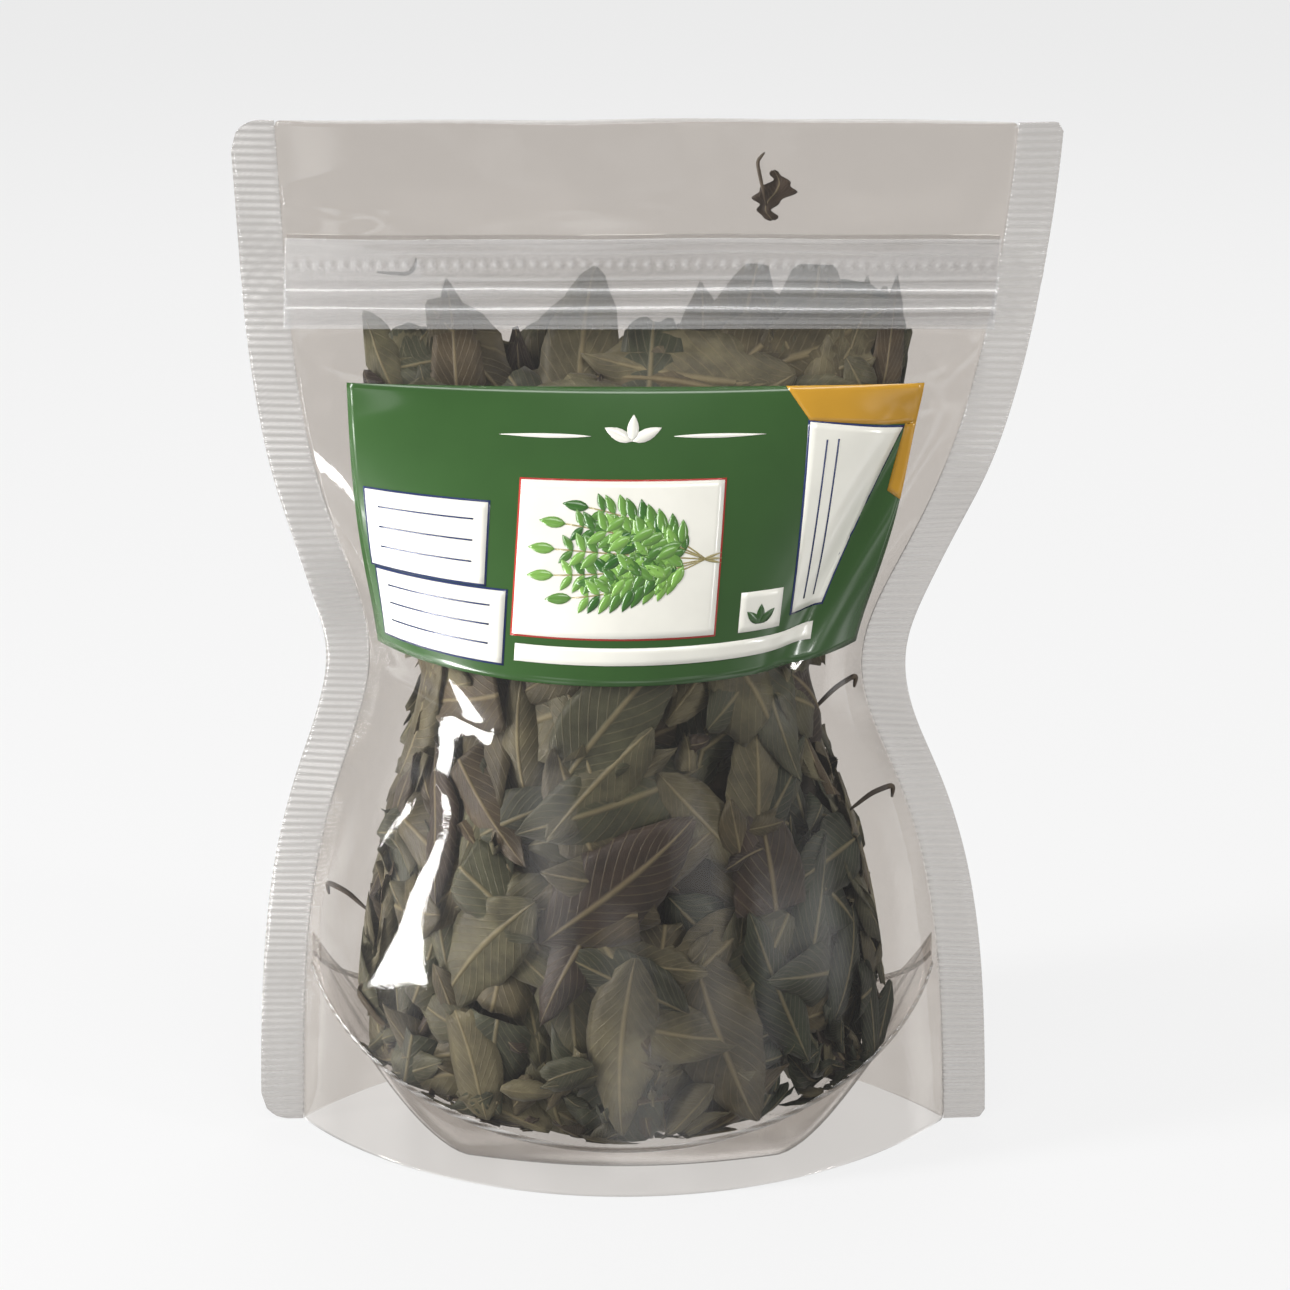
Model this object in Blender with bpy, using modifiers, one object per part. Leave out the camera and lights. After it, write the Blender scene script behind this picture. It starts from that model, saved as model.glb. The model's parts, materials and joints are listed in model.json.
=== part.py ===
"""A clear stand-up zip pouch, filled with loose dried curry leaves and labelled on its front.

The front faces -Y, +Z is up and the origin is the middle of the base. Two films are joined by flat
seals down their sides, a gusset joins them at the bottom, and a press zip closes them near the top.
"""

import math
import random

import bmesh
import bpy
import numpy as np

# Driving dimensions, in metres.
HEIGHT = 0.226  # base to the open top edge
FOOT_SIDE = 0.0836  # half width of the undrawn sides at the base
TOP_SIDE = 0.0870  # and at the top edge
WAIST_HEIGHT = 0.111
WAIST_PINCH = 0.0233  # how far the waist is drawn in
WAIST_REACH = 0.038  # the pinch is halved this far above and below the waist
SIDE_SEAL = 0.0093
FILL_DEPTH = 0.0385  # how much further the filled films stand out than the empty ones
FOOT_SLACK = 0.0040  # how much less they stand out at the base
FOOT_REACH = 0.060
HEADER_DEPTH = 0.0015  # half the space between the empty films
FILL_TOP = 0.181  # the films come together here, just below the zip
HEADER_START = 0.165
FILM = 0.0003
GAP = 0.0003  # clearance between pieces that touch

FILM_COLUMNS = 16  # the outermost column on each side is the seal
FILM_ROWS = 22
SEAL_START = 1 - 2 / FILM_COLUMNS
SHOULDER = 1 - math.sin(math.pi / 2 * (1 - 2 / (FILM_COLUMNS - 2)))  # the first column in from the seal

GUSSET_SIDE = 0.045  # height of the gusset's side corners
GUSSET_MIDDLE = 0.012  # height of its seal at the middle of the front
GUSSET_FLAT = 0.034  # half length of the flat that the pouch stands on
GUSSET_TIP = 0.985  # how near the gusset comes to the side seals
GUSSET_CLEARANCE = 0.002  # between its seal and the lowest leaves

ZIP_MIDDLE = 0.1925
ZIP_STRIP = 0.019
ZIP_HALF_LENGTH = 0.0705

LABEL_HALF_WIDTH = 0.060
LABEL_BOTTOM = 0.113
LABEL_TOP = 0.170
LABEL_THICKNESS = 0.0002

HEAP_INSET = 0.0046  # room between the packed leaves and the film, for the outer leaves
HEAP_CORNER = 0.0075
HEAP_BOTTOM = 0.0013
HEAP_TOP = 0.168

LEAF_LENGTH = 0.036
LEAF_WIDTH = 0.0155
LEAF_THICKNESS = 0.0003
LEAF_TIP = 0.0005  # half width of its blunt ends
LEAF_CURL = 0.0003
LEAF_STEP = 0.037  # spacing of leaf centres in a layer, so that no two leaves meet
LEAF_MARGIN = 0.008  # clearance between leaves and side seal
TOP_LEAVES = 0.168  # height of the leaves that lie across the top of the heap
TOP_LEAF_LENGTH = 0.026
OUTER_LEAF = 0.0016  # depth of each layer of leaves inside the film
INNER_LEAF = 0.0031

SCRAP_X = 0.0262  # the scrap of leaf caught above the zip
SCRAP_HEIGHT = 0.2135
SCRAP_LENGTH = 0.012
SCRAP_WIDTH = 0.009
SCRAP_WAVE = 0.001

STALK_RADIUS = 0.0006
STALK_DEPTH = 0.0022

COLOURS = {
    "film_clear": ((0.82, 0.82, 0.84), 0.12),
    "zip_clear": ((0.86, 0.86, 0.88), 0.25),
    "label_print": ((0.05, 0.13, 0.036), 0.30),
    "leaf_olive": ((0.105, 0.105, 0.060), 0.70),
    "leaf_tan": ((0.250, 0.225, 0.140), 0.75),
    "leaf_brown": ((0.090, 0.058, 0.036), 0.75),
    "leaf_pack": ((0.060, 0.048, 0.030), 0.90),
    "stalk_brown": ((0.080, 0.058, 0.036), 0.80),
}


def clear_scene():
    for obj in list(bpy.data.objects):
        bpy.data.objects.remove(obj, do_unlink=True)


def material(name):
    """The named finish, made once."""
    if name in bpy.data.materials:
        return bpy.data.materials[name]
    colour, roughness = COLOURS[name]
    made = bpy.data.materials.new(name)
    made.use_nodes = True
    shader = made.node_tree.nodes["Principled BSDF"]
    shader.inputs["Base Color"].default_value = (*colour, 1)
    shader.inputs["Roughness"].default_value = roughness
    shader.inputs["Metallic"].default_value = 0
    return made


def add_object(name, data, finish):
    obj = bpy.data.objects.new(name, data)
    data.materials.append(material(finish))
    pouch.objects.link(obj)
    return obj


def smooth_step(value):
    value = np.clip(value, 0, 1)
    return value * value * (3 - 2 * value)


def half_width(z):
    """Half the pouch's width: sides that lean out a little, drawn in at the waist."""
    undrawn = FOOT_SIDE + (TOP_SIDE - FOOT_SIDE) * z / HEIGHT
    return undrawn - WAIST_PINCH / (1 + ((z - WAIST_HEIGHT) / WAIST_REACH) ** 2)


def half_chord(z):
    """Half the distance between the two side seals."""
    return half_width(z) - SIDE_SEAL


def half_depth(z):
    """How far each film stands from the middle plane: full low down, closing towards the zip."""
    closing = 1 - (np.clip(z, 0, FILL_TOP) / FILL_TOP) ** 3.6
    foot = FOOT_SLACK * np.clip(1 - z / FOOT_REACH, 0, 1) ** 2
    return HEADER_DEPTH + FILL_DEPTH * closing - foot


def arc_radius(z):
    """Radius of the film's section, an arc through both seals and the deepest point."""
    return (half_chord(z) ** 2 + half_depth(z) ** 2) / (2 * half_depth(z))


def film_depth(x, z):
    """Distance of the film's inner face from the middle plane: an arc where filled, flat above."""
    across = np.clip(np.abs(x), 0, half_chord(z))
    arc = half_depth(z) - arc_radius(z) + np.sqrt(arc_radius(z) ** 2 - across**2)
    flat = half_depth(z) * np.clip((1 - across / half_chord(z)) / SHOULDER, 0, 1)
    header = smooth_step((z - HEADER_START) / (FILL_TOP - HEADER_START))
    return GAP / 2 + arc + (flat - arc) * header


def on_film(along, z, lift, side):
    """The point that lies `along` the film's arc from its middle, lifted outward along the normal."""
    radius = arc_radius(z)
    x = radius * np.sin(along / radius)
    nudge = 1e-4
    slope_x = (film_depth(x + nudge, z) - film_depth(x - nudge, z)) / (2 * nudge)
    slope_z = (film_depth(x, z + nudge) - film_depth(x, z - nudge)) / (2 * nudge)
    normal = np.array([-slope_x, 1, -slope_z]) / math.sqrt(1 + slope_x**2 + slope_z**2)
    point = np.array([x, film_depth(x, z), z]) + lift * normal
    return point * (-side, side, 1)


def shaped_grid(name, columns, rows, place, thickness, finish, offset=1):
    """A grid over (-1, 1) x (-1, 1), bent by `place` and thickened into a closed sheet."""
    shape = bmesh.new()
    bmesh.ops.create_grid(shape, x_segments=columns, y_segments=rows, size=1)
    for vertex in shape.verts:
        vertex.co = place(vertex.co.x, vertex.co.y)
    mesh = bpy.data.meshes.new(name)
    shape.to_mesh(mesh)
    shape.free()
    obj = add_object(name, mesh, finish)
    wall = obj.modifiers.new("wall", "SOLIDIFY")
    wall.thickness = thickness
    wall.offset = offset
    mesh.shade_smooth()
    return obj


def build_film(name, side):
    """One film, with side -1 for the front and 1 for the back, from seal edge to seal edge."""

    def place(u, v):
        z = HEIGHT * (v + 1) / 2
        if abs(u) > SEAL_START + 1e-6:
            x = half_chord(z) + SIDE_SEAL * (abs(u) - SEAL_START) / (1 - SEAL_START)
            x = math.copysign(x, u)
        else:
            x = half_chord(z) * math.sin(math.pi / 2 * u / SEAL_START)
        return (-side * x, side * film_depth(x, z), z)

    shaped_grid(name, FILM_COLUMNS, FILM_ROWS, place, FILM, "film_clear")


def gusset_seal_height(x):
    """Height of the arched seal that joins the gusset to the front and back films."""
    reach = x / half_chord(GUSSET_SIDE)
    return GUSSET_MIDDLE + (GUSSET_SIDE - GUSSET_MIDDLE) * (1 - math.sqrt(1 - reach**2))


def gusset_reach(z):
    """How far out from the middle that seal reaches before it rises above height z."""
    share = min(1, max(0, (z - GUSSET_MIDDLE) / (GUSSET_SIDE - GUSSET_MIDDLE)))
    return half_chord(GUSSET_SIDE) * math.sqrt(1 - (1 - share) ** 2)


def build_gusset():
    """The opened bottom fold: flat where it stands, rising to its side corners and its seals."""
    tip = half_chord(GUSSET_SIDE) * GUSSET_TIP

    def place(u, v):
        x = tip * math.sin(math.pi / 2 * u)
        edge = float(film_depth(x, gusset_seal_height(x))) - 2 * GAP
        rise = max(0, (abs(x) - GUSSET_FLAT) / (tip - GUSSET_FLAT)) ** 1.6 * GUSSET_SIDE
        curl = max(0, 2 * abs(v) - 1) ** 2
        return (x, v * edge, rise + (gusset_seal_height(x) - rise) * curl)

    shaped_grid("bottom_gusset", 16, 8, place, FILM, "film_clear")


def zip_strip(name, outline):
    """A strip of the press zip: its section, drawn as (depth, height), run across the pouch."""
    data = bpy.data.curves.new(name, "CURVE")
    data.dimensions = "2D"
    data.fill_mode = "BOTH"
    data.extrude = ZIP_HALF_LENGTH
    line = data.splines.new("POLY")
    line.points.add(len(outline) - 1)
    for point, (depth, height) in zip(line.points, outline):
        point.co = (depth, height, 0, 1)
    line.use_cyclic_u = True
    obj = add_object(name, data, "zip_clear")
    obj.location = (0, 0, ZIP_MIDDLE)
    obj.rotation_euler = (math.pi / 2, 0, math.pi / 2)


def build_zip():
    """A headed rib on the back strip, held between two hooked lips on the front strip."""
    back, skin, half = 0.00115, 0.00085, ZIP_STRIP / 2
    stem, head, head_back, head_front = 0.00035, 0.0008, -0.00005, -0.00045
    hook, lip_in, lip_out, lip_end, hook_back = 0.00075, 0.0012, 0.0017, 0.00045, 0.00015
    rib = [(back, -half), (back, half), (skin, half), (skin, stem), (head_back, stem)]
    rib += [(head_back, head), (head_front, head / 2), (head_front, -head / 2), (head_back, -head)]
    rib += [(head_back, -stem), (skin, -stem), (skin, -half)]
    zip_strip("zip_rib_strip", rib)
    lip = [(-skin, lip_out), (lip_end, lip_out), (lip_end, hook), (hook_back, hook)]
    lip += [(hook_back, lip_in), (-skin, lip_in)]
    lower_lip = [(depth, -height) for depth, height in reversed(lip)]
    groove = [(-back, half), (-skin, half), *lip, *lower_lip, (-skin, -half), (-back, -half)]
    zip_strip("zip_groove_strip", groove)


def build_label():
    """The printed label, stuck to the outside of the front film."""

    def place(u, v):
        z = LABEL_BOTTOM + (LABEL_TOP - LABEL_BOTTOM) * (v + 1) / 2
        return on_film(u * LABEL_HALF_WIDTH, z, FILM + 2 * GAP, -1)

    shaped_grid("front_label", 12, 8, place, LABEL_THICKNESS, "label_print")


def heap_size(z):
    """Half length and half depth of the packed leaves at a height above the gusset."""
    tip = half_chord(GUSSET_SIDE) * GUSSET_TIP
    above = z - HEAP_BOTTOM + GAP
    length = GUSSET_FLAT + (tip - GUSSET_FLAT) * min(1, above / GUSSET_SIDE) ** (1 / 1.6)
    length = min(length - HEAP_CORNER / 2, half_chord(z) - HEAP_CORNER)
    depth = (half_depth(z) - HEAP_INSET) * (1 + min(1, above / GUSSET_MIDDLE) ** 0.5) / 2
    return length, 0.96 * depth


def build_heap():
    """The packed leaves inside the outer ones, as one lens-shaped body on the gusset."""
    levels = [HEAP_BOTTOM, 0.004, 0.008, 0.013, 0.020, 0.032, 0.045, 0.060]
    levels += [0.077, 0.094, 0.111, 0.126, 0.141, 0.155, HEAP_TOP]
    cells = 10
    shape = bmesh.new()
    rings = []
    for z in levels:
        length, depth = heap_size(z)
        radius = (length**2 + depth**2) / (2 * depth)
        across = [length * math.sin(math.pi * (i / cells - 0.5)) for i in range(cells + 1)]
        arc = [(x, radius - depth - math.sqrt(radius**2 - x**2)) for x in across]
        outline = arc[:-1] + [(-x, -y) for x, y in arc[:-1]]
        rings.append([shape.verts.new((x, y, z)) for x, y in outline])
    for low, high in zip(rings, rings[1:]):
        for i in range(len(low)):
            j = (i + 1) % len(low)
            shape.faces.new((low[i], low[j], high[j], high[i]))
    shape.faces.new(reversed(rings[0]))
    shape.faces.new(rings[-1])
    mesh = bpy.data.meshes.new("leaf_heap")
    shape.to_mesh(mesh)
    shape.free()
    add_object("leaf_heap", mesh, "leaf_pack")
    mesh.shade_smooth()
    mesh.set_sharp_from_angle(angle=math.radians(40))


def build_leaf(name, along, height, angle, length, depth, side, finish):
    """One dried leaf lying inside the film: pointed at both ends, its edges curled inward."""

    def place(a, b):
        half = max(LEAF_WIDTH / 2 * (1 - a * a) ** 0.7, LEAF_TIP)
        lengthwise, crosswise = a * length / 2, b * half
        ds = math.cos(angle) * lengthwise - math.sin(angle) * crosswise
        dz = math.sin(angle) * lengthwise + math.cos(angle) * crosswise
        curl = LEAF_CURL * b * b
        return on_film(along + ds, height + dz, -depth - curl, side)

    shaped_grid(name, 6, 2, place, LEAF_THICKNESS, finish, offset=0)


def leaf_layer(prefix, rows, side, depth, seed):
    """Rows of leaves at their own angles, as many to a row as fit between the side seals."""
    rng = random.Random(seed)
    number = 0
    for height in rows:
        radius = float(arc_radius(height))
        arc = radius * math.asin(float(half_chord(height)) / radius)
        lowest = height - LEAF_LENGTH / 2 - GUSSET_CLEARANCE
        reach = min(arc - LEAF_MARGIN, gusset_reach(lowest)) - LEAF_LENGTH / 2
        count = 1 + int(2 * reach / LEAF_STEP)
        for place in range(count):
            number += 1
            along = LEAF_STEP * (place - (count - 1) / 2)
            angle = rng.uniform(-math.pi, math.pi)
            length = LEAF_LENGTH * rng.uniform(0.86, 1)
            finish = rng.choice(("leaf_olive", "leaf_olive", "leaf_tan", "leaf_brown"))
            name = f"{prefix}_{number:02d}"
            build_leaf(name, along, height, angle, length, depth, side, finish)


def build_leaves():
    leaf_layer("leaf_front", (0.036, 0.073, 0.110, 0.142), -1, OUTER_LEAF, 3)
    leaf_layer("leaf_inner", (0.054, 0.091, 0.127), -1, INNER_LEAF, 5)
    leaf_layer("leaf_back", (0.038, 0.075, 0.112, 0.144), 1, OUTER_LEAF, 8)
    rng = random.Random(11)
    for number, along in enumerate((-0.042, -0.014, 0.014, 0.042), start=1):
        name, angle = f"leaf_top_{number:02d}", rng.uniform(-0.3, 0.3)
        build_leaf(name, along, TOP_LEAVES, angle, TOP_LEAF_LENGTH, INNER_LEAF, -1, "leaf_olive")


def build_header_fragment():
    """A scrap of leaf caught between the empty films above the zip."""

    def place(a, b):
        across = b * SCRAP_WIDTH / 2 * (1 - 0.85 * a * a) + SCRAP_WAVE * math.sin(4 * a)
        return (SCRAP_X + across, -LEAF_THICKNESS / 2, SCRAP_HEIGHT + a * SCRAP_LENGTH / 2)

    shaped_grid("header_fragment", 4, 2, place, LEAF_THICKNESS, "leaf_brown")


def build_stalk(name, low, high, inset, side, end):
    """A leaf stalk against the film beside the seal, on the side that `end` gives (1 is +X)."""
    data = bpy.data.curves.new(name, "CURVE")
    data.dimensions = "3D"
    data.bevel_depth = STALK_RADIUS
    data.bevel_resolution = 1
    data.use_fill_caps = True
    line = data.splines.new("POLY")
    heights = np.linspace(low, high, 6)
    line.points.add(len(heights) - 1)
    for point, z in zip(line.points, heights):
        radius = arc_radius(z)
        arc = radius * math.asin(half_chord(z) / radius)
        point.co = (*on_film(-side * end * (arc - inset), z, -STALK_DEPTH, side), 1)
    add_object(name, data, "stalk_brown")


clear_scene()
pouch = bpy.data.collections.new("dried_curry_leaf_pouch")
bpy.context.scene.collection.children.link(pouch)
build_film("front_film", -1)
build_film("back_film", 1)
build_gusset()
build_zip()
build_label()
build_heap()
build_leaves()
build_header_fragment()
build_stalk("stalk_right_upper", 0.097, 0.109, 0.0055, -1, 1)
build_stalk("stalk_right_lower", 0.074, 0.084, 0.0055, -1, 1)
build_stalk("stalk_left", 0.050, 0.061, 0.0060, -1, -1)
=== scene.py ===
import json
import math

import bmesh
import bpy
import numpy as np
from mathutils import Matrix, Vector


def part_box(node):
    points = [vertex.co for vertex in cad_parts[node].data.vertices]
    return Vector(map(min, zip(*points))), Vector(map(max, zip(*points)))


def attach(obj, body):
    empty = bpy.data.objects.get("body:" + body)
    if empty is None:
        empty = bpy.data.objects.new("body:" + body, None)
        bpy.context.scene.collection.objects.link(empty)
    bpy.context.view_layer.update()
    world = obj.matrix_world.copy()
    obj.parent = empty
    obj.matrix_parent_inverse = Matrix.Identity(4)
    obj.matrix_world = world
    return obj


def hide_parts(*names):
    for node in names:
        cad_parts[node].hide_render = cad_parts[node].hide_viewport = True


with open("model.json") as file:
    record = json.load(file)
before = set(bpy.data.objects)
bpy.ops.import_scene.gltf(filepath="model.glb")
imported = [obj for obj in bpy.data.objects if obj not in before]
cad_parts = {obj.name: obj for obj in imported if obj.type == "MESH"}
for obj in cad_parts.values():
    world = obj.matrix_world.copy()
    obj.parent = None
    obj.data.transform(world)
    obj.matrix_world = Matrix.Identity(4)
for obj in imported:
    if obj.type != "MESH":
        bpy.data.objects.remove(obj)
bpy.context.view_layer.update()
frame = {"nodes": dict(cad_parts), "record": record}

# ---------------------------------------------------------------------------------------------
# The pouch film: clear glossy laminate, 0.12 mm thick, run flat off the roll, folded and welded.
# Filled with leaves it bulges between its side seals, pinches in at the waist, and puckers along
# the welds. Its form is worked out first, and then pressed from inside as cloth to crease it.
# ---------------------------------------------------------------------------------------------
FRONT, BACK = -1, 1
zip_low, zip_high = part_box("zip_groove_strip")
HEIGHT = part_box("front_film")[1].z
SIDE_SEAL = 0.0093
SKIN = 0.00012
FOOT_SIDE, TOP_SIDE = 0.0836, 0.0870
WAIST_HEIGHT, WAIST_PINCH, WAIST_REACH = 0.111, 0.0233, 0.038
FILL_DEPTH, FOOT_SLACK, FOOT_REACH = 0.0385, 0.0040, 0.060
HEADER_DEPTH = 0.0015
FILL_TOP = zip_low.z - 0.002
HEADER_START = FILL_TOP - 0.016
POCKET_LEFT, POCKET_HEIGHT = 0.0625, 0.2085
POCKET_WIDE, POCKET_TALL, POCKET_BULGE = 0.0115, 0.0050, 0.0020
TOP_SLUMP, WAIST_SLUMP, FOOT_SLUMP = 0.0050, 0.0018, 0.0015


def smooth_step(value):
    """0 below 0, 1 above 1, and an even S-curve between."""
    value = np.clip(value, 0, 1)
    return value * value * (3 - 2 * value)


def half_width(z):
    """Straight sides that lean out upwards, less a pinch that falls off with the square of height."""
    undrawn = FOOT_SIDE + (TOP_SIDE - FOOT_SIDE) * z / HEIGHT
    return undrawn - WAIST_PINCH / (1 + ((z - WAIST_HEIGHT) / WAIST_REACH) ** 2)


def half_chord(z):
    """Half the distance between the side seals."""
    return half_width(z) - SIDE_SEAL


def half_depth(z):
    """The fill's half depth: full low down, closing on a power of height to the zip."""
    closing = 1 - (np.clip(z, 0, FILL_TOP) / FILL_TOP) ** 3.6
    foot = FOOT_SLACK * np.clip(1 - z / FOOT_REACH, 0, 1) ** 2
    emptied = 0.6 * HEADER_DEPTH * smooth_step((z - zip_high.z) / 0.012)
    return HEADER_DEPTH + FILL_DEPTH * closing - foot - emptied


def arc_radius(z):
    """Radius of the arc through both seals and the deepest point."""
    return (half_chord(z) ** 2 + half_depth(z) ** 2) / (2 * half_depth(z))


def film_wave(x, z):
    """How far the empty header sways from the middle plane: two sines across, growing upwards."""
    sway = 0.0011 * np.sin(x / 0.0175 + 0.6) + 0.0006 * np.sin(x / 0.0075 + 2.0 + z / 0.02)
    return sway * smooth_step((z - FILL_TOP + 0.004) / (HEIGHT - FILL_TOP))


def crease(x, z, start, end, depth, width):
    """A groove along a straight line: depth times a bell across it, fading out at both ends."""
    run = np.array(end) - np.array(start)
    length = np.hypot(*run)
    along = ((x - start[0]) * run[0] + (z - start[1]) * run[1]) / length**2
    across = ((x - start[0]) * run[1] - (z - start[1]) * run[0]) / length
    fade = np.sin(math.pi * np.clip(along, 0, 1)) ** 0.6
    return depth * fade / (1 + (across / width) ** 2) ** 1.5


def film_depth(x, z, side):
    """Distance of a film from the middle plane: an arc where filled, nearly flat in the header."""
    across = np.clip(np.abs(x), 0, half_chord(z))
    arc = half_depth(z) - arc_radius(z) + np.sqrt(np.maximum(arc_radius(z) ** 2 - across**2, 0))
    flat = half_depth(z) * (1 - np.clip(across / half_chord(z), 0, 1) ** 10)
    header = smooth_step((z - HEADER_START) / (FILL_TOP - HEADER_START))
    depth = SKIN + arc + (flat - arc) * header
    above = smooth_step((z - zip_high.z) / 0.006) * (1 - np.clip(across / half_chord(z), 0, 1) ** 4)
    depth = depth + above * 0.0007 * (1 + np.sin(x / 0.013 + side) * np.cos(z / 0.009 + 2 * side))
    if side == FRONT:
        pocket = ((x + POCKET_LEFT) / POCKET_WIDE) ** 2 + ((z - POCKET_HEIGHT) / POCKET_TALL) ** 2
        depth = depth + POCKET_BULGE * np.clip(1 - pocket, 0, 1) ** 0.7
        depth = depth - crease(x, z, (0.0600, 0.1680), (0.0330, 0.1120), 0.0050, 0.0042)
        depth = depth - crease(x, z, (-0.0560, 0.1120), (-0.0250, 0.1030), 0.0022, 0.0040)
        depth = depth - crease(x, z, (-0.0640, 0.0480), (-0.0380, 0.0900), 0.0020, 0.0050)
    else:
        depth = depth - crease(x, z, (-0.0560, 0.1500), (-0.0300, 0.1150), 0.0035, 0.0050)
    return np.maximum(depth, SKIN)


def film_form(a, z, side):
    """Points of a film: a runs from -1 to 1 along the arc between the seals, z up the pouch."""
    radius = arc_radius(z)
    x = radius * np.sin(a * np.arcsin(np.clip(half_chord(z) / radius, -1, 1)))
    y = side * film_depth(x, z, side) + film_wave(x, z)
    return np.stack([x, y, np.broadcast_to(z, x.shape)], axis=-1)


def grid_mesh(name, points, flip=False, loop=False):
    """A mesh of quads over a grid of points (rows, columns, 3), joined round if `loop` is true."""
    rows, columns = points.shape[:2]
    index = np.arange(rows * columns).reshape(rows, columns)
    if loop:
        index = np.concatenate([index, index[:, :1]], axis=1)
    low, high = index[:-1], index[1:]
    quads = np.stack([low[:, :-1], low[:, 1:], high[:, 1:], high[:, :-1]], axis=-1).reshape(-1, 4)
    if flip:
        quads = quads[:, ::-1]
    mesh = bpy.data.meshes.new(name)
    mesh.from_pydata(points.reshape(-1, 3).tolist(), [], quads.tolist())
    mesh.shade_smooth()
    return mesh


def lean(z):
    """How far the soft pouch has slumped sideways: to the right on an S-curve of height, less a
    pinch at the waist and a little all the way up."""
    waist = WAIST_SLUMP / (1 + ((z - 0.105) / 0.03) ** 2)
    return TOP_SLUMP * smooth_step((z - 0.095) / 0.135) - waist - FOOT_SLUMP


def add_piece(name, mesh, finish, nodes=()):
    """Puts a finished mesh in the scene, slumped with the pouch, on the pouch's one body."""
    points = np.empty(len(mesh.vertices) * 3, dtype=np.float32)
    mesh.vertices.foreach_get("co", points)
    points = points.reshape(-1, 3)
    points[:, 0] += lean(points[:, 2])
    mesh.vertices.foreach_set("co", points.reshape(-1))
    piece = bpy.data.objects.new(name, mesh)
    bpy.context.scene.collection.objects.link(piece)
    piece.data.materials.append(finish)
    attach(piece, "root")
    if nodes:
        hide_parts(*nodes)
    return piece


def thicken(piece, thickness, offset=0.0, levels=0):
    """Gives a sheet its wall, with optional smoothing first."""
    if levels:
        smooth = piece.modifiers.new("smooth", "SUBSURF")
        smooth.levels = smooth.render_levels = levels
    wall = piece.modifiers.new("wall", "SOLIDIFY")
    wall.thickness = thickness
    wall.offset = offset


FILM_COLUMNS, FILM_ROWS = 81, 105
film_a = np.linspace(-1, 1, FILM_COLUMNS)[None, :]
film_z = np.linspace(0, HEIGHT, FILM_ROWS)[:, None]


def pressed(form, side, slack, pressure, frames):
    """The film pressed out from inside as cloth that is cut a little too large, so that it puckers.

    Its rest lengths come from a copy stretched by `slack` (across, up). It is held along the seals,
    at the foot and above the zip. How far its points may move is capped afterwards, in settled_film.
    """
    mesh = grid_mesh("pressed_film", form, flip=side == BACK)
    sheet = bpy.data.objects.new("pressed_film", mesh)
    bpy.context.scene.collection.objects.link(sheet)
    sheet.shape_key_add(name="filled")
    cut = sheet.shape_key_add(name="cut")
    larger = form * np.array([1 + slack[0], 1 + slack[0], 1 + slack[1]])
    cut.data.foreach_set("co", larger.reshape(-1))
    cut.value = 0
    a = np.broadcast_to(film_a, form.shape[:2])
    z = np.broadcast_to(film_z, form.shape[:2])
    held = np.maximum.reduce([
        smooth_step((np.abs(a) - 0.955) / 0.04),
        smooth_step((0.010 - z) / 0.008),
        smooth_step((z - FILL_TOP + 0.006) / 0.008),
    ])
    group = sheet.vertex_groups.new(name="held")
    for weight in np.unique(np.round(held, 2)):
        if weight > 0:
            chosen = np.flatnonzero(np.round(held, 2).reshape(-1) == weight)
            group.add(chosen.tolist(), float(weight), "REPLACE")
    cloth = sheet.modifiers.new("film", "CLOTH")
    made = cloth.settings
    made.quality = 6
    made.mass = 0.15
    made.tension_stiffness = made.compression_stiffness = 60
    made.shear_stiffness = 30
    made.bending_stiffness = 0.6
    made.tension_damping = made.compression_damping = 25
    made.air_damping = 2
    made.vertex_group_mass = "held"
    made.pin_stiffness = 50
    made.use_pressure = True
    made.uniform_pressure_force = pressure
    made.rest_shape_key = cut
    made.effector_weights.gravity = 0
    cloth.collision_settings.use_collision = False
    cloth.point_cache.frame_start, cloth.point_cache.frame_end = 1, frames
    scene = bpy.context.scene
    for step in range(1, frames + 1):
        scene.frame_set(step)
    seen = sheet.evaluated_get(bpy.context.evaluated_depsgraph_get())
    found = np.empty(form.size, dtype=np.float32)
    seen.data.vertices.foreach_get("co", found)
    scene.frame_set(1)
    bpy.data.objects.remove(sheet, do_unlink=True)
    bpy.data.meshes.remove(mesh)
    return found.reshape(form.shape).astype(float)


def normals_of(points, side):
    """Outward unit normals of a grid, from the cross product of its two directions."""
    across = np.gradient(points, axis=1)
    upward = np.gradient(points, axis=0)
    normal = np.cross(across, upward) * (1 if side == FRONT else -1)
    return normal / np.maximum(np.linalg.norm(normal, axis=-1, keepdims=True), 1e-12)


INWARD_CAP, OUTWARD_CAP, SIDEWAYS_CAP = 0.0009, 0.0060, 0.0030


def settled_film(side, slack, pressure, frames):
    """The analytic film, creased by pressing, held to within its caps inwards and outwards."""
    form = film_form(film_a, film_z, side)
    moved = pressed(form, side, slack, pressure, frames) - form
    normal = normals_of(form, side)
    outward = (moved * normal).sum(axis=-1, keepdims=True)
    sideways = moved - outward * normal
    length = np.linalg.norm(sideways, axis=-1, keepdims=True)
    sideways *= np.minimum(1, SIDEWAYS_CAP / np.maximum(length, 1e-9))
    return form + np.clip(outward, -INWARD_CAP, OUTWARD_CAP) * normal + sideways


film_points = {FRONT: settled_film(FRONT, (0.035, 0.030), 1.2, 30),
               BACK: settled_film(BACK, (0.030, 0.035), 1.4, 30)}


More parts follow.
